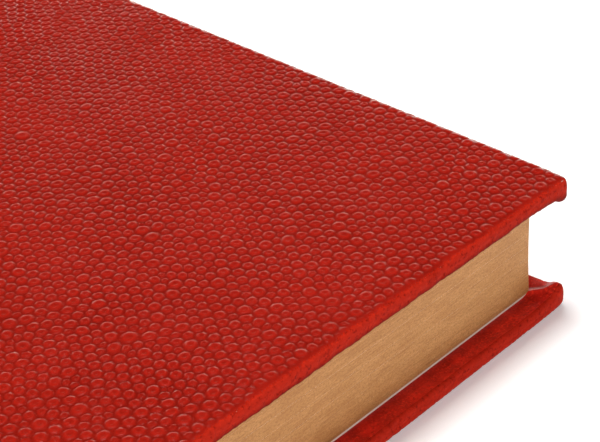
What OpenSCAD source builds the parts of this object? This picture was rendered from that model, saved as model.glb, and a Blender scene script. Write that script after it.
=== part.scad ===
// Hardback notebook bound in pebble-grained leather, lying on its back cover.
// X runs from the spine to the fore edge, Y from tail to head, Z up.
// The origin is at the middle of the footprint, on the surface that the book lies on.

/* [Pages] */
// Width of a page, from the spine edge to the fore edge
page_w = 148; // [90:1:220]
// Height of a page, from tail to head
page_h = 210; // [120:1:300]
// Thickness of one sewn section of leaves
section_t = 2.55; // [1.5:0.05:4]
// Thickness of one endpaper leaf
endpaper_t = 0.2; // [0.15:0.05:0.4]

/* [Boards] */
// Thickness of each cover board
board_t = 2.3; // [1.2:0.1:3.5]
// Overhang of the covers past the pages at head and tail
square_ends = 4.8; // [2:0.1:8]
// Overhang of the covers past the pages at the fore edge
square_fore = 4.6; // [2:0.1:8]
// Width of the hinge groove between the pages' spine edge and each cover board
joint_w = 7; // [4:0.5:12]
// Thickness of the spine board
spine_board_t = 1.2; // [0.8:0.1:2.5]
// How far the spine board stops short of the book's top and bottom faces
spine_board_inset = 1.3; // [0.8:0.1:2]

/* [Leather] */
// Thickness of the leather on the outside and round the edges
leather_t = 0.5; // [0.3:0.05:0.8]
// Thickness of the pared leather turned in over the boards
turn_in_t = 0.3; // [0.2:0.05:0.6]
// Width of the turned-in leather
turn_in_w = 15; // [10:0.5:22]
// Radius of the covers' fore-edge corners in plan
corner_r = 1.5; // [1:0.1:5]
// Width of the seam where two turn-ins meet at a corner
mitre_seam_w = 0.2; // [0.1:0.05:0.4]

/* [Spine lining] */
// Thickness of the sewing tapes, and of the headbands' glued flange
tape_t = 0.25; // [0.2:0.05:0.5]
// Width of each sewing tape
tape_w = 12; // [8:1:20]
// Distance between neighbouring sewing tapes
tape_pitch = 60; // [30:1:70]
// Thickness of the mull, the cloth glued over the tapes
mull_t = 0.25; // [0.15:0.05:0.5]
// Distance from each end of the pages to the end of the mull
mull_inset = 12; // [8:1:20]
// Gap between the mull and the spine board
hollow_gap = 0.4; // [0.3:0.1:2]
// Thread diameter
thread_d = 0.24; // [0.15:0.01:0.3]
// Distance from each end of the pages to the kettle stitches
kettle_inset = 17; // [13:1:30]
// Diameter of the headbands' rolled edge
band_d = 1.9; // [1.2:0.1:3]
// Length of the headbands' glued flange
band_flange = 10; // [5:1:11]

/* [Hidden] */

// Number of sewn sections, one node each
SECTIONS = 8;
// How far a cutter passes through a face
CUT = 1;
// Gap that keeps the rolled edge of a headband off the pages
BAND_GAP = 0.05;
// Segments on a full circle
$fn = 48;

cover_t = leather_t + board_t + turn_in_t;
pages_z = cover_t + 2 * endpaper_t;
pages_t = SECTIONS * section_t;
book_t = 2 * pages_z + pages_t;

lining_t = tape_t + mull_t;
spine_t = lining_t + hollow_gap + spine_board_t + leather_t;
book_w = spine_t + page_w + square_fore;
book_h = page_h + 2 * square_ends;

// X of the spine's outer face, the pages' spine edge, the boards' spine edge and the covers' fore edge
outer_x = -book_w / 2;
page_x = outer_x + spine_t;
joint_x = page_x + joint_w;
fore_x = book_w / 2;
spine_board_x = outer_x + leather_t;

LEATHER = [0.70, 0.10, 0.08];
TURN_IN = [0.55, 0.08, 0.06];
GILT = [0.77, 0.57, 0.35];
PAPER = [0.93, 0.89, 0.80];
CARD = [0.62, 0.58, 0.52];
LINEN = [0.86, 0.82, 0.72];

// Mirrors a back-cover piece to its place in the front cover
module to_front() {
    translate([0, 0, book_t]) mirror([0, 0, 1]) children();
}

// Plan outline of a cover, inset from its edges, square at the spine and rounded at the fore edge
module cover_outline(inset) {
    r = corner_r - min(inset, leather_t);
    x1 = fore_x - inset;
    y1 = book_h / 2 - inset;
    translate([joint_x, -y1]) square([x1 - r - joint_x, 2 * y1]);
    translate([joint_x, -(y1 - r)]) square([x1 - joint_x, 2 * (y1 - r)]);
    for (side = [-1, 1]) translate([x1 - r, side * (y1 - r)]) circle(r);
}

// Plan outline of the space inside the turned-in leather
module infill_outline() {
    x1 = fore_x - turn_in_w;
    y1 = book_h / 2 - turn_in_w;
    translate([joint_x, -y1]) square([x1 - joint_x, 2 * y1]);
}

// One diagonal seam, where the turn-ins meet at a corner, cut half way into them
module mitre_seam(side) {
    seam_l = (turn_in_w + corner_r) * sqrt(2);
    translate([fore_x - leather_t, side * (book_h / 2 - leather_t), cover_t - turn_in_t / 2])
        rotate([0, 0, side * 45])
            translate([-seam_l, -mitre_seam_w / 2, 0]) cube([seam_l, mitre_seam_w, CUT]);
}

// Leather on one cover: the outer panel, the wrapped edges and the turn-ins
module cover_leather() {
    difference() {
        linear_extrude(cover_t) cover_outline(0);
        translate([0, 0, leather_t]) linear_extrude(board_t) cover_outline(leather_t);
        translate([joint_x - CUT, leather_t - book_h / 2, leather_t])
            cube([2 * CUT, book_h - 2 * leather_t, board_t]);
        translate([0, 0, leather_t + board_t - CUT / 10]) linear_extrude(turn_in_t + CUT) infill_outline();
        translate([joint_x - CUT, turn_in_w - book_h / 2, leather_t + board_t])
            cube([2 * CUT, book_h - 2 * turn_in_w, turn_in_t + CUT]);
        for (side = [-1, 1]) mitre_seam(side);
    }
}

module cover_board() {
    translate([0, 0, leather_t]) linear_extrude(board_t) cover_outline(leather_t);
}

module cover_infill() {
    translate([0, 0, leather_t + board_t]) linear_extrude(turn_in_t) infill_outline();
}

// One endpaper leaf, the size of a page
module endpaper(z) {
    translate([page_x, -page_h / 2, z]) cube([page_w, page_h, endpaper_t]);
}

// Sewn section of folded leaves, with its folds rounded at the spine
module section(number) {
    fold_r = section_t / 2;
    color(GILT) translate([page_x, page_h / 2, pages_z + (number - 1) * section_t])
        rotate([90, 0, 0]) linear_extrude(page_h) {
            translate([fold_r, fold_r]) circle(fold_r);
            translate([fold_r, 0]) square([page_w - fold_r, section_t]);
        }
}

// Thread runs up the spine beside every tape, and at a kettle stitch near each end
module sewing_thread() {
    beside_tape = tape_w / 2 + thread_d;
    tape_stations = [for (tape = [-1 : 1], side = [-1, 1]) tape * tape_pitch + side * beside_tape];
    stations = concat(tape_stations, [for (side = [-1, 1]) side * (page_h / 2 - kettle_inset)]);
    color(LINEN) for (y = stations)
        translate([page_x - tape_t / 2, y, pages_z + section_t / 2])
            cylinder(d = thread_d, h = pages_t - section_t);
}

module sewing_tapes() {
    color(LINEN) for (tape = [-1 : 1])
        translate([page_x - tape_t, tape * tape_pitch - tape_w / 2, pages_z]) cube([tape_t, tape_w, pages_t]);
}

module mull() {
    color(LINEN) translate([page_x - lining_t, mull_inset - page_h / 2, pages_z])
        cube([mull_t, page_h - 2 * mull_inset, pages_t]);
}

// Rolled band at one end of the spine, with the flange that is glued to the sections' folds
module end_band(side) {
    roll_y = page_h / 2 + BAND_GAP + band_d / 2;
    color(LINEN) translate([0, 0, pages_z]) {
        translate([page_x - tape_t + band_d / 2, side * roll_y, 0]) cylinder(d = band_d, h = pages_t);
        translate([page_x - tape_t, side > 0 ? page_h / 2 - band_flange : -roll_y, 0])
            cube([tape_t, band_flange + roll_y - page_h / 2, pages_t]);
    }
}

// Leather hinge of the front cover: down the board's edge, along the groove, up and over the spine board
module joint_leather() {
    top = book_t;
    shoulder = book_t - spine_board_inset;
    floor_z = book_t - cover_t;
    inner_x = spine_board_x + spine_board_t;
    color(LEATHER) translate([0, book_h / 2, 0]) rotate([90, 0, 0]) linear_extrude(book_h) polygon([
        [outer_x, shoulder],
        [inner_x, shoulder],
        [inner_x, floor_z],
        [joint_x, floor_z],
        [joint_x, top],
        [joint_x - leather_t, top],
        [joint_x - leather_t, floor_z + leather_t],
        [inner_x + leather_t, floor_z + leather_t],
        [inner_x + leather_t, shoulder + leather_t],
        [outer_x, shoulder + leather_t]
    ]);
}

module back_leather() { color(LEATHER) cover_leather(); }
module front_leather() { color(LEATHER) to_front() cover_leather(); }
module back_board() { color(CARD) cover_board(); }
module front_board() { color(CARD) to_front() cover_board(); }
module back_infill() { color(CARD) cover_infill(); }
module front_infill() { color(CARD) to_front() cover_infill(); }
module back_pastedown() { color(PAPER) endpaper(cover_t); }
module front_pastedown() { color(PAPER) to_front() endpaper(cover_t); }
module back_flyleaf() { color(PAPER) endpaper(cover_t + endpaper_t); }
module front_flyleaf() { color(PAPER) to_front() endpaper(cover_t + endpaper_t); }
module headband() { end_band(1); }
module tailband() { end_band(-1); }
module front_joint_leather() { joint_leather(); }
module rear_joint_leather() { to_front() joint_leather(); }

module spine_board() {
    color(CARD) translate([spine_board_x, leather_t - book_h / 2, spine_board_inset])
        cube([spine_board_t, book_h - 2 * leather_t, book_t - 2 * spine_board_inset]);
}

// Leather on the spine, folded over the spine board's ends and glued down inside
module spine_leather() {
    color(LEATHER) difference() {
        translate([outer_x, -book_h / 2, spine_board_inset])
            cube([leather_t + spine_board_t, book_h, book_t - 2 * spine_board_inset]);
        translate([spine_board_x, leather_t - book_h / 2, spine_board_inset - CUT])
            cube([spine_board_t + CUT, book_h - 2 * leather_t, book_t]);
    }
}

for (number = [1 : SECTIONS])
    section(number);
back_leather();
back_board();
back_infill();
back_pastedown();
back_flyleaf();
sewing_thread();
sewing_tapes();
mull();
headband();
tailband();
front_flyleaf();
front_pastedown();
front_infill();
front_board();
front_leather();
spine_board();
spine_leather();
rear_joint_leather();
front_joint_leather();
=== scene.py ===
"""Looks for the pebble-grained leather notebook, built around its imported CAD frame."""

import math

import bpy
import numpy as np
from mathutils import Matrix, Vector
from mathutils.geometry import delaunay_2d_cdt


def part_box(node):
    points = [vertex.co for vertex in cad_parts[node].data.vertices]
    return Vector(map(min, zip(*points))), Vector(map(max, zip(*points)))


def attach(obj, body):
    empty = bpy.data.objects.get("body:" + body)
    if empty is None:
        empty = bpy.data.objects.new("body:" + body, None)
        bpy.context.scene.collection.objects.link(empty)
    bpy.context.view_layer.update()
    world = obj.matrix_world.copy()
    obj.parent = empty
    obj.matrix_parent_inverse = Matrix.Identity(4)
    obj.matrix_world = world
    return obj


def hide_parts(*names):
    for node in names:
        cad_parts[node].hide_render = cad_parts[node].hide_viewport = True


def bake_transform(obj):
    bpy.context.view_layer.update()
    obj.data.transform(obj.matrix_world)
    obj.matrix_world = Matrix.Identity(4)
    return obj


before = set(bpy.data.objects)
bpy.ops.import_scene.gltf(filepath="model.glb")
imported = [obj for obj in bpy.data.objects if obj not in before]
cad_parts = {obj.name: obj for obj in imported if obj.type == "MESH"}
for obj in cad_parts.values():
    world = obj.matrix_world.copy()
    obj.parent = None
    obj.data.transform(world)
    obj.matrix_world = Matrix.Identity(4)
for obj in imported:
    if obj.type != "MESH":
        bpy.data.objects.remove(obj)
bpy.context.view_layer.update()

MM = 0.001
SECTIONS = 8

# Places of the main pieces, read from the frame.
COVER_LOW, COVER_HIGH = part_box("front_leather")
BACK_LOW, BACK_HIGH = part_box("back_leather")
SPINE_LOW, SPINE_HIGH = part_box("spine_leather")
PAGE_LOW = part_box("section_1")[0]
PAGE_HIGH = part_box(f"section_{SECTIONS}")[1]
BOOK_T = COVER_HIGH.z
COVER_T = COVER_HIGH.z - COVER_LOW.z

# Leather grain: the distance between pebbles, the height of a usual one, and the lowest
# and highest pebble as shares of that.
PEBBLE_PITCH = 2.12 * MM
PEBBLE_H = 0.24 * MM
PEBBLE_MIN, PEBBLE_MAX = 0.60, 1.12

# A pebble's shape, from its rim to its dented middle, as shares of its reach and height.
RIM_HEIGHT = 0.10
FLANK_REACH, FLANK_LIMIT, FLANK_HEIGHT = 0.78, 0.87, 0.42
SHOULDER_REACH, SHOULDER_LIMIT = 0.55, 0.68
DENT_REACH, DENT_DEPTH = 0.28, 0.32

# Covers: roundness of the edges on the outside and on the inside, the leather's thickness, how far
# the inside stands proud at a folded corner and along an edge, and the turned-in leather's width
# and the height of its mitred fold.
EDGE_R = 1.3 * MM
INNER_R = 0.85 * MM
LEATHER_T = 0.5 * MM
CORNER_PUFF = 1.5 * MM
EDGE_PUFF = 0.25 * MM
TURN_IN_W = 15 * MM
MITRE_RIDGE = 0.45 * MM

# Text block: leaves drawn in each section, the hollow of the fore edge, and the leaves' corners
# and the grooves between them.
LEAVES = 12
FORE_HOLLOW = 0.28 * MM
PAGE_CORNER_R = 0.15 * MM
LEAF_GROOVE = 0.018 * MM

# Spine: how far the leather stands proud of the spine board's inner face, how far its grain is
# pressed flat there, the tapes' width, and the thickness of the headbands' cloth.
SPINE_WALL = 0.15 * MM
SHOULDER_FLAT = 1.9 * MM
TAPE_W = 12 * MM
FLANGE_T = 0.25 * MM

# Brightness of the surroundings near the horizon and overhead.
HORIZON, ZENITH = 1.0, 0.01


# ---------------------------------------------------------------- meshes

def add_mesh(name, points, faces, materials, smooth=True):
    """A mesh object at the origin, linked to the scene."""
    mesh = bpy.data.meshes.new(name)
    mesh.from_pydata([tuple(p) for p in points], [], [tuple(f) for f in faces])
    mesh.validate()
    if smooth:
        mesh.shade_smooth()
    for material in materials:
        mesh.materials.append(material)
    piece = bpy.data.objects.new(name, mesh)
    bpy.context.scene.collection.objects.link(piece)
    return piece


def add_values(piece, name, values):
    """Stores one number per vertex, for the material to read."""
    attribute = piece.data.attributes.new(name, "FLOAT", "POINT")
    attribute.data.foreach_set("value", np.asarray(values, np.float32))


def finish_piece(piece, body, slot, *nodes):
    """The piece rides on body and stands for the CAD nodes; slot is not used."""
    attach(piece, body)
    if nodes:
        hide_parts(*nodes)
    return piece


# ---------------------------------------------------------------- pebble grain

def triangles_of(points):
    """Delaunay triangles of 2D points, as an index array."""
    found = delaunay_2d_cdt([Vector(p) for p in points], [], [], 0, 1e-9)
    return np.array(found[2], int)


def relaxed_points(low, high, pitch, rng):
    """Points about one pitch apart, like close-packed pebbles with a few faults in the packing."""
    width, height = high[0] - low[0] + 4 * pitch, high[1] - low[1] + 4 * pitch
    row_gap = pitch * math.sqrt(3) / 2
    columns, rows = int(width / pitch) + 1, int(height / row_gap) + 1
    row, column = np.mgrid[0:rows, 0:columns]
    x = low[0] - 2 * pitch + (column + 0.5 * (row % 2)) * pitch
    y = low[1] - 2 * pitch + row * row_gap
    points = np.stack([x.ravel(), y.ravel()], 1)
    points += rng.normal(0, 0.24 * pitch, points.shape)
    for _ in range(3):
        triangles = triangles_of(points)
        corners = points[triangles]
        centre = corners.mean(1)
        side_a, side_b = corners[:, 1] - corners[:, 0], corners[:, 2] - corners[:, 0]
        area = np.abs(side_a[:, 0] * side_b[:, 1] - side_a[:, 1] * side_b[:, 0])
        total, weight = np.zeros_like(points), np.zeros(len(points))
        for k in range(3):
            np.add.at(total, triangles[:, k], centre * area[:, None])
            np.add.at(weight, triangles[:, k], area)
        inside = ((points > points.min(0) + pitch) & (points < points.max(0) - pitch)).all(1)
        points[inside] = (total[inside] / weight[inside, None])
    return points


def pebble_sheet(low, high, pitch, seed):
    """Flat sheet of pebbles with dented tops. Returns flat points, their heights as shares of a
    usual pebble's, a random tone for each pebble, and faces."""
    rng = np.random.default_rng(seed)
    points = relaxed_points(low, high, pitch, rng)
    triangles = triangles_of(points)
    size = np.exp(rng.normal(0, 0.16, len(points)))
    pull = 1 / size[triangles]
    corners = (points[triangles] * pull[:, :, None]).sum(1) / pull.sum(1)[:, None]

    around = [[] for _ in points]
    for index, triangle in enumerate(triangles):
        for vertex in triangle:
            around[vertex].append(index)

    flat, height, tone, faces = list(corners), [0.0] * len(corners), [0.5] * len(corners), []
    middles = {}

    def middle(a, b):
        key = (min(a, b), max(a, b))
        if key not in middles:
            middles[key] = len(flat)
            flat.append((corners[a] + corners[b]) / 2)
            height.append(RIM_HEIGHT)
            tone.append(0.5)
        return middles[key]

    margin = 1.2 * pitch
    for cell, centre in enumerate(points):
        if not (low[0] - margin < centre[0] < high[0] + margin):
            continue
        if not (low[1] - margin < centre[1] < high[1] + margin):
            continue
        ring = around[cell]
        offset = corners[ring] - centre
        ring = [ring[k] for k in np.argsort(np.arctan2(offset[:, 1], offset[:, 0]))]
        rim = []
        for a, b in zip(ring, ring[1:] + ring[:1]):
            rim += [a, middle(a, b)]
        rim_points = np.array([flat[k] for k in rim])
        centre = rim_points.mean(0)
        reach = np.linalg.norm(rim_points - centre, axis=1)
        even = reach[1::2].mean()
        rounded = (0.35 * reach + 0.65 * even) / reach
        flank = (FLANK_REACH * rounded).clip(0, FLANK_LIMIT)
        shoulder = (SHOULDER_REACH * rounded).clip(0, SHOULDER_LIMIT)
        lift = float(np.clip(even / (0.5 * pitch), PEBBLE_MIN, PEBBLE_MAX))
        dip = DENT_DEPTH + 1.2 * max(0.0, lift - 0.85) * rng.random()
        cell_tone = rng.random()
        outer = len(flat)
        count = len(rim)
        flat.extend(centre + (rim_points - centre) * flank[:, None])
        height.extend([FLANK_HEIGHT * lift] * count)
        first = len(flat)
        flat.extend(centre + (rim_points - centre) * shoulder[:, None])
        height.extend([lift] * count)
        flat.extend(centre + (rim_points[1::2] - centre) * DENT_REACH)
        height.extend([(1.0 - 0.75 * dip) * lift] * (count // 2))
        flat.append(centre)
        height.append((1.0 - dip) * lift)
        tone.extend([cell_tone] * (2 * count + count // 2 + 1))
        inner = first + count
        top = inner + count // 2
        for k in range(count):
            after = (k + 1) % count
            faces.append((rim[k], rim[after], outer + after, outer + k))
            faces.append((outer + k, outer + after, first + after, first + k))
        for k in range(count // 2):
            after = (k + 1) % (count // 2)
            odd, even_next, odd_next = 2 * k + 1, (2 * k + 2) % count, (2 * k + 3) % count
            faces.append((first + odd, first + even_next, inner + k))
            faces.append((first + even_next, first + odd_next, inner + after, inner + k))
            faces.append((inner + k, inner + after, top))
    return np.array(flat), np.array(height), np.array(tone), faces


def keep_used(points, faces, *values):
    """Drops vertices that no face uses."""
    used = np.zeros(len(points), bool)
    for face in faces:
        used[list(face)] = True
    index = np.cumsum(used) - 1
    faces = [tuple(int(index[k]) for k in face) for face in faces]
    return points[used], faces, *[v[used] for v in values]


def smoothstep(low, high, x):
    """Rises smoothly from 0 at low to 1 at high."""
    t = np.clip((x - low) / (high - low), 0, 1)
    return t * t * (3 - 2 * t)


def wave(x, y, seed, scale):
    """Smooth random values from -1 to 1 over the plane, for hand-made unevenness."""
    rng = np.random.default_rng(seed)
    total = np.zeros_like(x)
    for _ in range(6):
        angle = rng.uniform(0, 2 * math.pi)
        length = scale * rng.uniform(0.6, 1.8)
        phase = rng.uniform(0, 2 * math.pi)
        total += np.sin((x * math.cos(angle) + y * math.sin(angle)) * 2 * math.pi / length + phase)
    return total / 3.5


def fold_profile(s, thickness, outer_r, inner_r):
    """A fold over an edge: how far a point goes outwards and down, and which way it faces,
    when it lies s past the start of the fold."""
    first_arc, last_arc = outer_r * math.pi / 2, inner_r * math.pi / 2
    wall = thickness - outer_r - inner_r
    first = np.clip(s, 0, first_arc) / outer_r
    down = np.clip(s - first_arc, 0, wall)
    last = np.clip(s - first_arc - wall, 0, last_arc) / inner_r
    out = outer_r * np.sin(first) - inner_r * (1 - np.cos(last))
    drop = outer_r * (1 - np.cos(first)) + down + inner_r * np.sin(last)
    face_out = np.sin(first) * np.cos(last)
    face_up = np.cos(first) - np.sin(last)
    return out, drop, face_out, face_up


def fold_length(thickness, outer_r, inner_r):
    """Length of leather that a whole fold takes up."""
    return (outer_r + inner_r) * math.pi / 2 + thickness - outer_r - inner_r


def puff(x, y, high):
    """How far a cover's inside stands proud: a little along its edges, and a lump at a corner."""
    from_end = high.y - np.abs(y)
    from_fore = high.x - x
    to_edge = np.minimum(from_end, from_fore)
    to_corner = np.hypot(np.maximum(from_end - EDGE_R, 0), np.maximum(from_fore - EDGE_R, 0))
    edge = EDGE_PUFF * (1 - smoothstep(0, 3.5 * MM, to_edge)) * (1 + 0.5 * wave(x, y, 71, 7 * MM))
    lump = CORNER_PUFF * np.exp(-(to_corner / (2.3 * MM)) ** 2)
    rise = 0.45 * CORNER_PUFF * np.exp(-(to_corner / (5.0 * MM)) ** 2)
    return edge + np.maximum(lump, rise)


def cover_skin(name, low, high, up, seed, materials):
    """Pebbled leather over the outside and round the four edges of a cover.
    up is 1 for the front cover, whose outside is at the top, and -1 for the back cover."""
    wrap = fold_length(COVER_T, EDGE_R, INNER_R)
    core_low, core_x, core_y = low.x - LEATHER_T + EDGE_R, high.x - EDGE_R, high.y - EDGE_R
    flat, height, tone, faces = pebble_sheet(
        (core_low - wrap, -core_y - wrap), (core_x + wrap, core_y + wrap), PEBBLE_PITCH, seed)
    x, y = flat[:, 0], flat[:, 1]
    foot_x = np.clip(x, core_low, core_x)
    foot_y = np.clip(y, -core_y, core_y)
    over = np.hypot(x - foot_x, y - foot_y)
    safe = np.maximum(over, 1e-9)
    away_x, away_y = (x - foot_x) / safe, (y - foot_y) / safe
    past = over > wrap
    faces = [f for f in faces if not past[list(f)].all()]
    over = np.minimum(over, wrap)

    # The grain is pressed flat along the edges, furthest in at tail and head.
    ragged = 0.5 * MM * wave(x, y, seed + 1, 9 * MM)
    from_end = core_y - np.abs(y) + ragged
    from_fore = core_x - x + ragged
    from_spine = x - core_low
    grain = smoothstep(-1.3 * MM, 1.0 * MM, from_end) * smoothstep(-1.4 * MM, 0.5 * MM, from_fore)
    grain *= smoothstep(-1.2 * MM, 0.2 * MM, from_spine)
    grain = 0.22 + 0.78 * grain
    press = 0.90 + 0.10 * wave(x, y, seed + 2, 30 * MM)
    relief = height * grain * press

    out, drop, face_out, face_up = fold_profile(over, COVER_T, EDGE_R, INNER_R)
    # Painted shade: the leather darkens further down the fold round each edge, half as much on the
    # back cover; the same values pick the faces that take the folded-edge leather.
    under_shade = smoothstep(0.02 * COVER_T, 1.1 * COVER_T, drop) * (1.0 if up > 0 else 0.5)
    lumps = 0.14 * MM * wave(x, y, seed + 3, 2.6 * MM) * smoothstep(0, 0.5 * COVER_T, drop)
    drop = drop * (1 + puff(foot_x + away_x * out, foot_y + away_y * out, high) / COVER_T)
    rise = PEBBLE_H * (relief - PEBBLE_MAX * grain) - np.abs(lumps)
    rise *= 1 - smoothstep(0.8 * wrap, wrap, over)
    points = np.stack([
        foot_x + away_x * (out + face_out * rise),
        foot_y + away_y * (out + face_out * rise),
        up * (COVER_T - drop + face_up * rise),
    ], 1)
    points[:, 2] += low.z if up > 0 else high.z
    if up < 0:
        faces = [tuple(reversed(f)) for f in faces]
    return leather_mesh(name, points, faces, relief, tone, grain, under_shade, materials)


def leather_mesh(name, points, faces, relief, tone, grain, under_shade, materials):
    """A leather skin, with the second material on its folded edges."""
    points, faces, relief, tone, grain, under_shade = keep_used(points, faces, relief, tone, grain, under_shade)
    skin = add_mesh(name, points, faces, materials)
    for key, values in (("relief", relief), ("tone", tone), ("grain", grain), ("under_shade", under_shade)):
        add_values(skin, key, values)
    folded = [int(under_shade[list(polygon.vertices)].min() > 0.0005) for polygon in skin.data.polygons]
    skin.data.polygons.foreach_set("material_index", folded)
    return skin


def strip_skin(name, path, half_length, thickness, seed, materials, flat_ends=0.0):
    """Pebbled leather along a path of (x, z) points, folded over at head and tail.
    The leather faces left of the path's direction. Its grain is pressed flat as far as
    flat_ends from the path's two ends."""
    path = np.array(path)
    steps = np.linalg.norm(np.diff(path, axis=0), axis=1)
    travel = np.concatenate([[0], np.cumsum(steps)])
    length = travel[-1]
    bend_r, tuck_r = 0.55 * thickness, 0.35 * thickness
    wrap = fold_length(thickness, bend_r, tuck_r)
    core_y = half_length - bend_r
    flat, height, tone, faces = pebble_sheet(
        (0, -core_y - wrap), (length, core_y + wrap), PEBBLE_PITCH, seed)
    s, y = np.clip(flat[:, 0], 0, length), flat[:, 1]
    past = (flat[:, 0] < 0) | (flat[:, 0] > length) | (np.abs(y) > core_y + wrap)
    faces = [f for f in faces if not past[list(f)].all()]
    base_x, base_z = np.interp(s, travel, path[:, 0]), np.interp(s, travel, path[:, 1])
    reach = 0.15 * MM
    ahead, behind = np.minimum(s + reach, length), np.maximum(s - reach, 0)
    along_x = np.interp(ahead, travel, path[:, 0]) - np.interp(behind, travel, path[:, 0])
    along_z = np.interp(ahead, travel, path[:, 1]) - np.interp(behind, travel, path[:, 1])
    size = np.hypot(along_x, along_z)
    normal_x, normal_z = -along_z / size, along_x / size

    foot_y = np.clip(y, -core_y, core_y)
    over = np.minimum(np.abs(y - foot_y), wrap)
    side = np.sign(y)
    grain = 0.16 + 0.84 * smoothstep(-0.5 * MM, 1.3 * MM, core_y - np.abs(y))
    if flat_ends:
        grain *= 0.15 + 0.85 * smoothstep(flat_ends, flat_ends + 1.3 * MM, np.minimum(s, length - s))
    relief = height * grain
    out, drop, face_out, face_up = fold_profile(over, thickness, bend_r, tuck_r)
    rise = PEBBLE_H * (relief - PEBBLE_MAX * grain)
    lift = face_up * rise - drop
    points = np.stack([
        base_x + normal_x * lift,
        foot_y + side * (out + face_out * rise),
        base_z + normal_z * lift,
    ], 1)
    # Painted shade: the leather darkens further down the folds at head and tail.
    under_shade = smoothstep(0.06, 1.1, drop / thickness)
    return leather_mesh(name, points, faces, relief, tone, grain, under_shade, materials)


def arc(centre, radius, start, end, count=6):
    """Points on an arc in the plane of x and z, between two angles in degrees."""
    angles = [math.radians(start + (end - start) * k / count) for k in range(count + 1)]
    return [(centre[0] + radius * math.cos(a), centre[1] + radius * math.sin(a)) for a in angles]


# ---------------------------------------------------------------- materials

class Nodes:
    """Short way to write a node tree."""

    def __init__(self, name):
        self.material = bpy.data.materials.new(name)
        self.material.use_nodes = True
        self.tree = self.material.node_tree
        self.shader = self.tree.nodes["Principled BSDF"]
        self.place = self.tree.nodes.new("ShaderNodeTexCoord").outputs["Object"]

    def put(self, kind, **values):
        """A new node, with its settings or its inputs' values."""
        node = self.tree.nodes.new(kind)
        for key, value in values.items():
            if hasattr(node, key):
                setattr(node, key, value)
            else:
                node.inputs[key].default_value = value
        return node

    def link(self, source, node, socket):
        """Joins an output to a node's input."""
        self.tree.links.new(source, node.inputs[socket])

    def scaled(self, scale):
        """Object coordinates times a scale for each axis."""
        mapping = self.put("ShaderNodeMapping", vector_type="POINT")
        mapping.inputs["Scale"].default_value = scale
        self.link(self.place, mapping, "Vector")
        return mapping.outputs["Vector"]

    def distance(self):
        """How far a place is from the object's origin."""
        node = self.put("ShaderNodeVectorMath", operation="LENGTH")
        self.link(self.place, node, "Vector")
        return node.outputs["Value"]

    def noise(self, vector, scale, detail=3.0, roughness=0.55):
        """Smooth random values around 0.5."""
        node = self.put("ShaderNodeTexNoise")
        node.inputs["Scale"].default_value = scale
        node.inputs["Detail"].default_value = detail
        node.inputs["Roughness"].default_value = roughness
        self.link(vector, node, "Vector")
        return node.outputs["Fac"]

    def value(self, name):
        """A number stored on the mesh."""
        return self.put("ShaderNodeAttribute", attribute_name=name).outputs["Fac"]

    def span(self, source, low, high, to_low=0.0, to_high=1.0):
        """Maps low..high to to_low..to_high, and holds it to those limits."""
        node = self.put("ShaderNodeMapRange")
        node.inputs["From Min"].default_value = low
        node.inputs["From Max"].default_value = high
        node.inputs["To Min"].default_value = to_low
        node.inputs["To Max"].default_value = to_high
        self.link(source, node, "Value")
        return node.outputs["Result"]

    def mix(self, factor, a, b, blend="MIX"):
        """A blend of two colours."""
        node = self.put("ShaderNodeMix", data_type="RGBA", blend_type=blend)
        for socket, item in ((0, factor), (6, a), (7, b)):
            if isinstance(item, (tuple, float)):
                node.inputs[socket].default_value = item
            else:
                self.tree.links.new(item, node.inputs[socket])
        return node.outputs[2]

    def add(self, a, b, operation="ADD"):
        """Sum of two numbers, or another operation on them."""
        node = self.put("ShaderNodeMath", operation=operation)
        for socket, item in ((0, a), (1, b)):
            if isinstance(item, (int, float)):
                node.inputs[socket].default_value = item
            else:
                self.tree.links.new(item, node.inputs[socket])
        return node.outputs[0]

    def bump(self, source, distance, strength=1.0):
        """Surface normals for a relief of this height."""
        node = self.put("ShaderNodeBump")
        node.inputs["Distance"].default_value = distance
        node.inputs["Strength"].default_value = strength
        self.link(source, node, "Height")
        return node.outputs["Normal"]

    def shade(self, **inputs):
        """Sets the shader's inputs to values or to node outputs, and returns the material."""
        for key, item in inputs.items():
            socket = key.replace("_", " ")
            if isinstance(item, (int, float, tuple)):
                self.shader.inputs[socket].default_value = item
            else:
                self.link(item, self.shader, socket)
        return self.material


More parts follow.
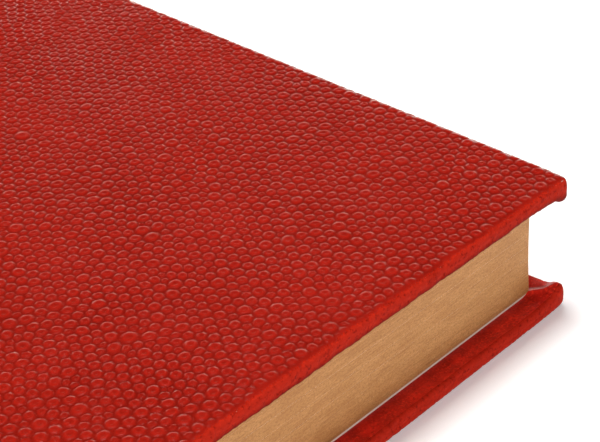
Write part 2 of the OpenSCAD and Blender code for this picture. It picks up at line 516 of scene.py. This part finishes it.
def leather_material(name, top, valley, patch, roughness, gloss, wrinkled=0.30):
    """Dyed leather with painted shade between the pebbles, in their dented tops, in fine creases and
    down folded edges, uneven in tone, with fine pores.
    wrinkled is how strongly fine creases show, from 0 to 1."""
    n = Nodes(name)
    relief, tone, grain = n.value("relief"), n.value("tone"), n.value("grain")
    cloud = n.noise(n.place, 55, 3)
    pores = n.noise(n.place, 5200, 2)
    creases = n.noise(n.place, 1500, 4, 0.65)
    # Painted shade: darker in the valleys between the pebbles and in their dented tops; where the
    # grain is pressed flat the patch colour takes over.
    relief_shaded = n.mix(n.span(relief, 0.15, 0.95), valley, top)
    relief_shaded = n.mix(n.span(grain, 0.2, 0.9, 0.75, 0.0), relief_shaded, patch)
    deeper = n.mix(1.0, relief_shaded, (0.78, 0.72, 0.72, 1), "MULTIPLY")
    shade = n.mix(n.span(tone, 0, 1, 0.0, 0.35), relief_shaded, deeper)
    shade = n.mix(n.span(cloud, 0.35, 0.7, 0.0, 0.30), shade, patch)
    # Painted shade in the fine creases, which the bump also shapes.
    shade = n.mix(n.span(creases, 0.52, 0.75 - 0.12 * wrinkled, 0.0, wrinkled), shade, valley)
    shade = n.mix(n.span(n.noise(n.place, 2300, 2), 0.50, 0.66, 0.0, 0.9 * wrinkled), shade, patch)
    # Painted shade: folded edges darken towards their undersides, and turned-in leather further in,
    # towards a near-black red.
    shade = n.mix(n.span(n.value("under_shade"), 0.50, 0.90, 0.0, 0.80), shade, (0.10, 0.002, 0.001, 1))
    rough = n.span(cloud, 0.3, 0.7, roughness - 0.01, roughness + 0.04)
    fine = n.add(n.add(pores, 0.35, "MULTIPLY"), creases)
    return n.shade(Base_Color=shade, Roughness=rough, Specular_IOR_Level=gloss,
                   Normal=n.bump(fine, (0.005 + 0.1 * wrinkled) * MM, 0.8))


def gilt_material():
    """Burnished matte gold on the cut edges, mottled and faintly streaked along the leaves."""
    n = Nodes("gilt_edge")
    leaves = n.noise(n.scaled((160, 160, 3800)), 1.0, 4, 0.65)
    blotch = n.noise(n.scaled((260, 260, 900)), 1.0, 4, 0.7)
    grain = n.noise(n.scaled((2200, 2200, 3200)), 1.0, 3, 0.7)
    cloud = n.noise(n.place, 60, 3)
    colour = n.mix(n.span(cloud, 0.3, 0.7), (0.465, 0.206, 0.055, 1), (0.545, 0.266, 0.083, 1))
    colour = n.mix(n.span(blotch, 0.42, 0.62, 0.0, 0.45), colour, (0.70, 0.370, 0.138, 1))
    colour = n.mix(n.span(leaves, 0.50, 0.72, 0.0, 0.65), colour, (0.34, 0.136, 0.036, 1))
    colour = n.mix(n.span(grain, 0.46, 0.66, 0.0, 0.80), colour, (0.36, 0.154, 0.045, 1))
    fine = n.add(n.add(leaves, 0.8, "MULTIPLY"), n.add(grain, 0.8, "MULTIPLY"))
    return n.shade(Base_Color=colour, Metallic=0.25, Roughness=n.span(grain, 0.3, 0.7, 0.45, 0.62),
                   Normal=n.bump(fine, 0.05 * MM, 0.9))


def paper_material(name, base, warm):
    """Uncoated paper with a soft fibre grain."""
    n = Nodes(name)
    fibre = n.noise(n.place, 1400, 4, 0.7)
    cloud = n.noise(n.place, 45, 3)
    colour = n.mix(n.span(cloud, 0.35, 0.7), base, warm)
    colour = n.mix(n.span(fibre, 0.5, 0.8, 0.0, 0.18), colour, (0.70, 0.60, 0.48, 1))
    return n.shade(Base_Color=colour, Roughness=n.span(fibre, 0.3, 0.7, 0.78, 0.92),
                   Normal=n.bump(fibre, 0.02 * MM, 0.6))


def card_material():
    """Grey-brown binder's board."""
    n = Nodes("binders_board")
    fleck = n.noise(n.place, 700, 4, 0.7)
    cloud = n.noise(n.place, 80, 3)
    colour = n.mix(n.span(cloud, 0.3, 0.7), (0.34, 0.29, 0.23, 1), (0.44, 0.38, 0.31, 1))
    colour = n.mix(n.span(fleck, 0.55, 0.75, 0.0, 0.6), colour, (0.20, 0.16, 0.12, 1))
    return n.shade(Base_Color=colour, Roughness=n.span(fleck, 0.3, 0.7, 0.8, 0.95),
                   Normal=n.bump(fleck, 0.04 * MM, 0.7))


def linen_material():
    """Plain-woven binding cloth."""
    n = Nodes("binding_linen")
    warp = n.put("ShaderNodeTexWave", bands_direction="Y", wave_profile="SIN")
    weft = n.put("ShaderNodeTexWave", bands_direction="Z", wave_profile="SIN")
    for node in (warp, weft):
        node.inputs["Scale"].default_value = 330
        node.inputs["Distortion"].default_value = 0.6
        n.link(n.place, node, "Vector")
    weave = n.add(warp.outputs["Fac"], weft.outputs["Fac"], "MULTIPLY")
    slub = n.noise(n.place, 600, 3)
    colour = n.mix(weave, (0.46, 0.40, 0.30, 1), (0.78, 0.72, 0.60, 1))
    colour = n.mix(n.span(slub, 0.5, 0.8, 0.0, 0.4), colour, (0.60, 0.53, 0.41, 1))
    return n.shade(Base_Color=colour, Roughness=n.span(slub, 0.3, 0.7, 0.8, 0.95),
                   Normal=n.bump(weave, 0.08 * MM, 0.8))


def silk_material():
    """Wound silk, in stripes of cream and red."""
    n = Nodes("headband_silk")
    strands = n.noise(n.scaled((900, 900, 6000)), 1.0, 3)
    colour = n.mix(n.value("stripe"), (0.72, 0.60, 0.42, 1), (0.36, 0.012, 0.010, 1))
    colour = n.mix(n.span(strands, 0.45, 0.7, 0.0, 0.4), colour, (0.20, 0.06, 0.04, 1))
    return n.shade(Base_Color=colour, Roughness=n.span(strands, 0.3, 0.7, 0.35, 0.55),
                   Sheen_Weight=0.3, Normal=n.bump(strands, 0.03 * MM, 0.8))


def make_materials():
    """Every finish, by the name that the rest of the script uses for it."""
    leather = leather_material(
        "pebbled_leather", top=(0.362, 0.0108, 0.0045, 1), valley=(0.200, 0.0058, 0.0025, 1),
        patch=(0.368, 0.0120, 0.0050, 1), roughness=0.29, gloss=0.40)
    # The folded edges and the turned-in leather take brighter copies of the cover leather: painted
    # light that lifts faces which get less light than the cover's top.
    edge = leather_material(
        "folded_edge_leather", top=(0.35, 0.0098, 0.0038, 1), valley=(0.16, 0.0046, 0.0020, 1),
        patch=(0.52, 0.0230, 0.0095, 1), roughness=0.55, gloss=0.02, wrinkled=0.75)
    turned_in = leather_material(
        "turned_in_leather", top=(0.70, 0.018, 0.009, 1), valley=(0.32, 0.007, 0.004, 1),
        patch=(0.82, 0.036, 0.017, 1), roughness=0.38, gloss=0.16, wrinkled=0.75)
    return {
        "leather": leather,
        "edge": edge,
        "turn_in": turned_in,
        "gilt": gilt_material(),
        "leaf": paper_material("leaf_paper", (0.84, 0.79, 0.68, 1), (0.88, 0.83, 0.72, 1)),
        "endpaper": paper_material("endpaper", (0.80, 0.68, 0.60, 1), (0.84, 0.74, 0.66, 1)),
        "card": card_material(),
        "linen": linen_material(),
        "silk": silk_material(),
    }


# ---------------------------------------------------------------- text block

def page_outline():
    """Plan outline of the leaves, anticlockwise from the tail end of the spine, and the side
    that each point is on."""
    steps = 36
    low, high = PAGE_LOW, PAGE_HIGH
    r = PAGE_CORNER_R
    points, sides = [], []
    for k in range(steps + 1):
        points.append((low.x + (high.x - r - low.x) * k / steps, low.y))
        sides.append("tail")
    for k in range(1, 5):
        a = math.radians(-90 + 90 * k / 5)
        points.append((high.x - r + r * math.cos(a), low.y + r + r * math.sin(a)))
        sides.append("fore")
    for k in range(steps + 1):
        points.append((high.x, low.y + r + (high.y - low.y - 2 * r) * k / steps))
        sides.append("fore")
    for k in range(1, 5):
        a = math.radians(90 * k / 5)
        points.append((high.x - r + r * math.cos(a), high.y - r + r * math.sin(a)))
        sides.append("fore")
    for k in range(steps + 1):
        points.append((high.x - r - (high.x - r - low.x) * k / steps, high.y))
        sides.append("head")
    for k in range(1, steps):
        points.append((low.x, high.y - (high.y - low.y) * k / steps))
        sides.append("spine")
    return np.array(points), sides


def section_piece(number, materials):
    """One sewn section: a stack of leaves, grooved between them, with rounded folds at the spine."""
    low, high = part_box(f"section_{number}")
    outline, sides = page_outline()
    count = len(outline)
    leaf_t = (high.z - low.z) / LEAVES
    fold_r = (high.z - low.z) / 2
    middle = (PAGE_LOW.z + PAGE_HIGH.z) / 2
    half = (PAGE_HIGH.z - PAGE_LOW.z) / 2
    inward = np.zeros((count, 2))
    inward[:, 0] = np.where(outline[:, 0] > PAGE_HIGH.x - PAGE_CORNER_R * 1.01, -1, 0)
    inward[:, 1] = [1 if s == "tail" else -1 if s == "head" else 0 for s in sides]
    near_fore = smoothstep(PAGE_HIGH.x - 30 * MM, PAGE_HIGH.x, outline[:, 0])
    at_spine = outline[:, 0] < PAGE_LOW.x + 1e-6
    rng = np.random.default_rng(100 + number)
    rings = []
    for leaf in range(LEAVES):
        uneven = rng.uniform(0, 0.012) * MM
        for share, groove in ((0.0, 0.5 if leaf == 0 else 1.0), (0.22, 0.0), (0.78, 0.0)):
            rings.append((low.z + (leaf + share) * leaf_t, groove * LEAF_GROOVE + uneven))
    rings.append((high.z, 0.5 * LEAF_GROOVE))
    points = []
    for z, groove in rings:
        bow = FORE_HOLLOW * (1 - ((z - middle) / half) ** 2)
        level = outline + inward * groove
        level[:, 0] -= bow * near_fore
        from_middle = min(abs(z - (low.z + high.z) / 2), fold_r)
        level[at_spine, 0] += fold_r - math.sqrt(fold_r ** 2 - from_middle ** 2)
        points += [(x, y, z) for x, y in level]
    faces, marks = [], []
    for ring in range(len(rings) - 1):
        for k in range(count):
            after = (k + 1) % count
            a, b = ring * count + k, ring * count + after
            faces.append((a, b, b + count, a + count))
            marks.append(1 if at_spine[k] and at_spine[after] else 0)
    top = (len(rings) - 1) * count
    faces.append(tuple(reversed(range(count))))
    faces.append(tuple(top + k for k in range(count)))
    marks += [1, 1]
    looks = [materials["gilt"], materials["leaf"]]
    piece = add_mesh(f"sewn_section_{number}", points, faces, looks, smooth=False)
    piece.data.polygons.foreach_set("material_index", np.array(marks, np.int32))
    body = "back_cover" if number == 1 else f"section_{number}"
    return finish_piece(piece, body, "pages", f"section_{number}")


# ---------------------------------------------------------------- turned-in leather

def turn_in_piece(name, low, high, up, seed, material):
    """Leather turned in over the inside of a cover, with a folded mitre at each fore-edge corner."""
    edge_x, edge_y = high.x - INNER_R, high.y - INNER_R
    corner_x, corner_y, corner_r = high.x - EDGE_R, high.y - EDGE_R, EDGE_R - INNER_R
    step = 0.8 * MM
    across = 22
    points, faces, spread, ridge = [], [], [], []

    def strip(start, end, inward, mitre_start, mitre_end):
        """A band from start to end, whose ends are cut at 45 degrees where they meet another band."""
        start, end = Vector(start), Vector(end)
        along = (end - start).normalized()
        length = (end - start).length
        count = int(length / step)
        first = len(points)
        for i in range(count + 1):
            for j in range(across + 1):
                t = TURN_IN_W * (j / across) ** 1.5
                from_start = t if mitre_start else 0.0
                from_end = t if mitre_end else 0.0
                share = i / count
                place = start + along * (from_start + (length - from_start - from_end) * share)
                place = place + Vector(inward) * t
                gaps = [share * length] * mitre_start + [(1 - share) * length] * mitre_end
                points.append(place)
                spread.append(t)
                ridge.append(min(gaps))
        for i in range(count):
            for j in range(across):
                a = first + i * (across + 1) + j
                b = a + across + 1
                faces.append((a, b, b + 1, a + 1))

    strip((low.x, -edge_y), (edge_x, -edge_y), (0, 1), False, True)
    strip((edge_x, -edge_y), (edge_x, edge_y), (-1, 0), True, True)
    strip((edge_x, edge_y), (low.x, edge_y), (0, -1), True, False)
    flat = np.array([tuple(p) for p in points])
    spread, ridge = np.array(spread), np.array(ridge)

    # Points outside the rounded corners come in to the round.
    q_x, q_y = np.maximum(flat[:, 0] - corner_x, 0), np.maximum(np.abs(flat[:, 1]) - corner_y, 0)
    q = np.hypot(q_x, q_y)
    pull = np.where(q > corner_r, corner_r / np.maximum(q, 1e-9), 1.0)
    in_corner = (q_x > 0) & (q_y > 0)
    x = np.where(in_corner, corner_x + q_x * pull, flat[:, 0])
    y = np.where(in_corner, np.sign(flat[:, 1]) * (corner_y + q_y * pull), flat[:, 1])

    to_corner = np.hypot(high.x - x, high.y - np.abs(y))
    fold = MITRE_RIDGE * np.exp(-(ridge / (0.8 * MM)) ** 2)
    fold *= smoothstep(0.3 * MM, 2.5 * MM, to_corner) * (1 - smoothstep(14 * MM, 20 * MM, to_corner))
    ripple = 0.10 * MM * wave(x, y, seed, 5 * MM) * smoothstep(0.2 * MM, 1.5 * MM, spread)
    settle = smoothstep(3 * MM, 5 * MM, spread)
    stand = puff(x, y, high) + fold + ripple * (1 - 0.7 * settle) - 0.15 * MM * settle
    z = (low.z - stand) if up > 0 else (high.z + stand)
    if up > 0:
        faces = [tuple(reversed(f)) for f in faces]
    piece = add_mesh(name, np.stack([x, y, z], 1), faces, [material])
    add_values(piece, "relief", 0.55 + 0.35 * wave(x, y, seed + 1, 5 * MM))
    add_values(piece, "tone", np.full(len(x), 0.3))
    add_values(piece, "grain", np.ones(len(x)))
    # Painted shade: the turned-in leather darkens further in from the cover's edge, and a painted
    # highlight keeps the mitre ridge lighter.
    shaded = 0.65 * smoothstep(0.4 * MM, 2.5 * MM, spread)
    add_values(piece, "under_shade", shaded - 0.5 * fold / MITRE_RIDGE)
    return piece


# ---------------------------------------------------------------- spine and joints

def spine_path():
    """Outside of the spine, from the back groove over both shoulders to the front groove."""
    left, right = SPINE_LOW.x, SPINE_HIGH.x + SPINE_WALL
    top = SPINE_HIGH.z + LEATHER_T
    bottom = BOOK_T - top
    groove = BOOK_T - COVER_T + LEATHER_T
    back_r, front_r = 1.1 * MM, 0.6 * MM
    return ([(right, BOOK_T - groove)]
            + arc((right - front_r, bottom + front_r), front_r, 360, 270)
            + arc((left + back_r, bottom + back_r), back_r, 270, 180)
            + arc((left + back_r, top - back_r), back_r, 180, 90)
            + arc((right - front_r, top - front_r), front_r, 90, 0)
            + [(right, groove)])


def groove_path():
    """Leather across the front groove, from the spine's shoulder to the front board's edge."""
    left, right = SPINE_HIGH.x + SPINE_WALL, COVER_LOW.x - LEATHER_T
    floor = BOOK_T - COVER_T + LEATHER_T
    r = 0.8 * MM
    tuck, sag = 0.3 * MM, 0.15 * MM
    return ([(left - tuck, floor + 1.5 * r)] + arc((left + r, floor + r), r, 180, 270)
            + [((left + right) / 2, floor - sag)]
            + arc((right - r, floor + r), r, 270, 360) + [(right + tuck, floor + 1.7 * r)])


# ---------------------------------------------------------------- spine lining

def lining_piece(name, points, faces, material, node):
    """A piece glued to the sections' folds."""
    piece = add_mesh(name, points, faces, [material])
    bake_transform(piece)
    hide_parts(node)
    return piece


def cloth_sheet(x_low, x_high, y_low, y_high, z_low, z_high, cell, fray, seed):
    """Closed thin sheet in the plane of y and z, a little uneven, with loose edges at its ends."""
    rows, columns = max(12, int((z_high - z_low) / cell)), max(4, int((y_high - y_low) / cell))
    rng = np.random.default_rng(seed)
    points, faces = [], []
    for face_x, inward in ((x_low, 1), (x_high, -1)):
        for i in range(rows + 1):
            for j in range(columns + 1):
                z = z_low + (z_high - z_low) * i / rows
                y = y_low + (y_high - y_low) * j / columns
                at_end = j in (0, columns)
                y += (rng.random() * fray if at_end else 0) * (1 if j == 0 else -1)
                dent = 0.25 * (x_high - x_low) * rng.random()
                points.append((face_x + inward * dent, y, z))
    sheet = (rows + 1) * (columns + 1)
    for i in range(rows):
        for j in range(columns):
            a = i * (columns + 1) + j
            b = a + columns + 1
            faces.append((a, a + 1, b + 1, b))
            faces.append((sheet + a, sheet + b, sheet + b + 1, sheet + a + 1))
    border = [j for j in range(columns + 1)]
    border += [(i + 1) * (columns + 1) + columns for i in range(rows)]
    border += [rows * (columns + 1) + columns - 1 - j for j in range(columns)]
    border += [(rows - 1 - i) * (columns + 1) for i in range(rows - 1)]
    for a, b in zip(border, border[1:] + border[:1]):
        faces.append((b, a, sheet + a, sheet + b))
    return points, faces


def join_parts(parts):
    """One list of points and faces out of several."""
    points, faces = [], []
    for part_points, part_faces in parts:
        first = len(points)
        points += list(part_points)
        faces += [tuple(first + k for k in face) for face in part_faces]
    return points, faces


def post(centre_x, centre_y, z_low, z_high, rings, radius_at, sides=16):
    """Upright round bar whose radius changes along its length."""
    points, faces = [], []
    for i in range(rings + 1):
        z = z_low + (z_high - z_low) * i / rings
        for k in range(sides):
            turn = 2 * math.pi * k / sides
            r = radius_at(z - z_low, turn)
            points.append((centre_x + r * math.cos(turn), centre_y + r * math.sin(turn), z))
    for i in range(rings):
        for k in range(sides):
            a, b = i * sides + k, i * sides + (k + 1) % sides
            faces.append((a, b, b + sides, a + sides))
    faces.append(tuple(reversed(range(sides))))
    faces.append(tuple(rings * sides + k for k in range(sides)))
    return points, faces


def make_tapes(material):
    """Three linen tapes across the backs of the sections."""
    low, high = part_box("sewing_tapes")
    half = TAPE_W / 2
    parts = []
    for tape in (-1, 0, 1):
        y = tape * (high.y - TAPE_W / 2)
        parts.append(cloth_sheet(
            low.x, high.x, y - half, y + half, low.z, high.z, 0.8 * MM, 0.05 * MM, 51 + tape))
    return lining_piece("woven_sewing_tapes", *join_parts(parts), material, "sewing_tapes")


def make_mull(material):
    """Open cloth glued over the backs of the sections."""
    low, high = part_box("mull")
    sheet = cloth_sheet(low.x, high.x, low.y, high.y, low.z, high.z, 1.0 * MM, 0.8 * MM, 57)
    return lining_piece("spine_mull", *sheet, material, "mull")


def make_thread(material):
    """Two-ply thread runs beside each tape and at the kettle stitches."""
    low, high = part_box("sewing_thread")
    radius = (high.x - low.x) / 2
    centre_x = (high.x + low.x) / 2
    tape_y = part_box("sewing_tapes")[1].y - TAPE_W / 2
    beside = TAPE_W / 2 + 2 * radius
    stations = [tape * tape_y + side * beside for tape in (-1, 0, 1) for side in (-1, 1)]
    stations += [low.y + radius, high.y - radius]

    def ply(travel, turn):
        return radius * (0.80 + 0.20 * abs(math.cos(turn - travel / (0.25 * MM))))

    parts = [post(centre_x, y, low.z, high.z, 90, ply, 12) for y in stations]
    return lining_piece("sewn_thread", *join_parts(parts), material, "sewing_thread")


def make_headband(name, node, side, thread, cloth):
    """Rolled band, wound with silk in two colours, on a strip of cloth."""
    low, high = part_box(node)
    block_y = PAGE_HIGH.y
    gap = 0.02 * MM
    radius = ((high.y if side > 0 else -low.y) - block_y) / 2 - gap
    centre_y = side * (block_y + radius + gap)
    winding = 0.62 * MM

    def silk(travel, turn):
        lean = travel + 0.10 * MM * turn / math.pi
        return radius * (0.84 + 0.16 * math.sqrt(abs(math.sin(math.pi * lean / winding))))

    roll = post(low.x + radius, centre_y, low.z, high.z, 260, silk, 20)
    inner_end = low.y if side > 0 else high.y
    flange = cloth_sheet(low.x, low.x + FLANGE_T, min(inner_end, centre_y), max(inner_end, centre_y),
                         low.z, high.z, 0.8 * MM, 0.1 * MM, 61 + side)
    points, faces = join_parts([roll, flange])
    band = lining_piece(name, points, faces, thread, node)
    band.data.materials.append(cloth)
    of_roll = len(roll[0])
    marks = [0 if polygon.vertices[0] < of_roll else 1 for polygon in band.data.polygons]
    band.data.polygons.foreach_set("material_index", marks)
    stripe = [math.floor((p[2] - low.z) / (3 * winding)) % 2 for p in points]
    add_values(band, "stripe", stripe)
    return band


# ---------------------------------------------------------------- stage

def make_camera():
    """Close view from above, towards the corner where tail and fore edge meet."""
    camera = bpy.data.objects.new("camera", bpy.data.cameras.new("camera"))
    bpy.context.scene.collection.objects.link(camera)
    camera.data.sensor_width = 36
    camera.data.lens = 94.62
    camera.data.clip_start = 0.01
    turn = Matrix.Rotation(math.radians(-43.394), 4, "Z")
    tilt = Matrix.Rotation(math.radians(56.196), 4, "X")
    roll = Matrix.Rotation(math.radians(-4.51), 4, "Z")
    corner = Vector((COVER_HIGH.x, COVER_LOW.y, COVER_HIGH.z))
    from_corner = Vector((-186.4, -130.16, 144.15)) * MM
    camera.matrix_world = Matrix.Translation(corner + from_corner) @ turn @ tilt @ roll
    bpy.context.scene.camera = camera


def area_light(name, place, aim, size, power, colour=(1, 1, 1), glossy=True):
    """Soft light at a place, turned towards aim. A light that isn't glossy shows in no reflection."""
    light = bpy.data.objects.new(name, bpy.data.lights.new(name, "AREA"))
    bpy.context.scene.collection.objects.link(light)
    light.data.shape = "RECTANGLE"
    light.data.size, light.data.size_y = size
    light.data.energy = power
    light.data.color = colour
    light.visible_glossy = glossy
    light.location = place
    light.rotation_euler = (Vector(aim) - Vector(place)).to_track_quat("-Z", "Y").to_euler()


def make_world():
    """White surroundings, brightest near the horizon."""
    world = bpy.data.worlds.new("studio")
    world.use_nodes = True
    tree = world.node_tree
    place = tree.nodes.new("ShaderNodeTexCoord")
    split = tree.nodes.new("ShaderNodeSeparateXYZ")
    fade = tree.nodes.new("ShaderNodeMapRange")
    fade.interpolation_type = "SMOOTHSTEP"
    fade.inputs["From Min"].default_value = 0.05
    fade.inputs["From Max"].default_value = 0.20
    fade.inputs["To Min"].default_value = HORIZON
    fade.inputs["To Max"].default_value = ZENITH
    tree.links.new(place.outputs["Generated"], split.inputs[0])
    tree.links.new(split.outputs["Z"], fade.inputs["Value"])
    tree.nodes["Background"].inputs["Color"].default_value = (1, 0.96, 0.91, 1)
    tree.links.new(fade.outputs["Result"], tree.nodes["Background"].inputs["Strength"])
    bpy.context.scene.world = world


def make_stage():
    """Pale floor, white surroundings and soft studio lights."""
    bpy.ops.mesh.primitive_plane_add(size=8)
    floor = bpy.context.object
    floor.name = "floor"
    n = Nodes("floor")
    # The floor glows, faintly beside the book and more strongly further out: painted light that keeps
    # it white and lifts shadows on it.
    far = n.span(n.distance(), 0.25, 1.0, 0.10, 0.9)
    floor.data.materials.append(n.shade(
        Base_Color=(0.98, 0.98, 0.98, 1), Roughness=0.9, Specular_IOR_Level=0.1,
        Emission_Color=(1, 1, 1, 1), Emission_Strength=far))
    make_world()
    area_light("overhead", place=(0.04, 0.06, 0.95), aim=(0.03, -0.05, 0), size=(0.3, 0.3),
               power=9.3, glossy=False)
    area_light("fill", place=(-0.68, -0.74, 0.60), aim=(0.03, -0.08, 0), size=(0.7, 0.7), power=8.1)
    area_light("back", place=(0.95, 0.75, 0.14), aim=(0.0, -0.02, 0.02), size=(1.4, 0.20),
               power=5.0, colour=(1, 0.90, 0.78))
    bpy.context.scene.view_settings.view_transform = "Standard"


# ---------------------------------------------------------------- assembly

make_camera()
make_stage()
MATERIALS = make_materials()
LEATHERS = [MATERIALS["leather"], MATERIALS["edge"]]

for node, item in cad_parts.items():
    if "leather" in node:
        looks = MATERIALS["turn_in"]
    elif "board" in node or "infill" in node:
        looks = MATERIALS["card"]
    elif "pastedown" in node or "flyleaf" in node:
        looks = MATERIALS["endpaper"]
    elif node.startswith("section"):
        looks = MATERIALS["leaf"]
    else:
        looks = MATERIALS["linen"]
    item.data.materials.clear()
    item.data.materials.append(looks)

for number in range(1, SECTIONS + 1):
    section_piece(number, MATERIALS)

front_skin = cover_skin("front_cover_leather", COVER_LOW, COVER_HIGH, 1, 11, LEATHERS)
finish_piece(front_skin, "front_cover", "leather", "front_leather")
back_skin = cover_skin("back_cover_leather", BACK_LOW, BACK_HIGH, -1, 23, LEATHERS)
finish_piece(back_skin, "back_cover", "leather", "back_leather")
front_turn = turn_in_piece("front_turn_ins", COVER_LOW, COVER_HIGH, 1, 31, MATERIALS["turn_in"])
finish_piece(front_turn, "front_cover", "leather", "front_leather")
back_turn = turn_in_piece("back_turn_ins", BACK_LOW, BACK_HIGH, -1, 37, MATERIALS["turn_in"])
finish_piece(back_turn, "back_cover", "leather", "back_leather")

spine_skin = strip_skin(
    "spine_leather_cover", spine_path(), SPINE_HIGH.y, SPINE_HIGH.x - SPINE_LOW.x, 41, LEATHERS,
    SHOULDER_FLAT)
finish_piece(spine_skin, "spine", "leather", "spine_leather")

front_groove = groove_path()
back_groove = [(x, BOOK_T - z) for x, z in reversed(front_groove)]
front_joint = strip_skin("front_joint_cover", front_groove, SPINE_HIGH.y, 2 * LEATHER_T, 43, LEATHERS)
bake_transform(front_joint)
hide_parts("front_joint_leather")
rear_joint = strip_skin("rear_joint_cover", back_groove, SPINE_HIGH.y, 2 * LEATHER_T, 47, LEATHERS)
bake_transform(rear_joint)
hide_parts("rear_joint_leather")

make_mull(MATERIALS["linen"])
make_tapes(MATERIALS["linen"])
make_thread(MATERIALS["linen"])
make_headband("head_headband", "headband", 1, MATERIALS["silk"], MATERIALS["linen"])
make_headband("tail_headband", "tailband", -1, MATERIALS["silk"], MATERIALS["linen"])
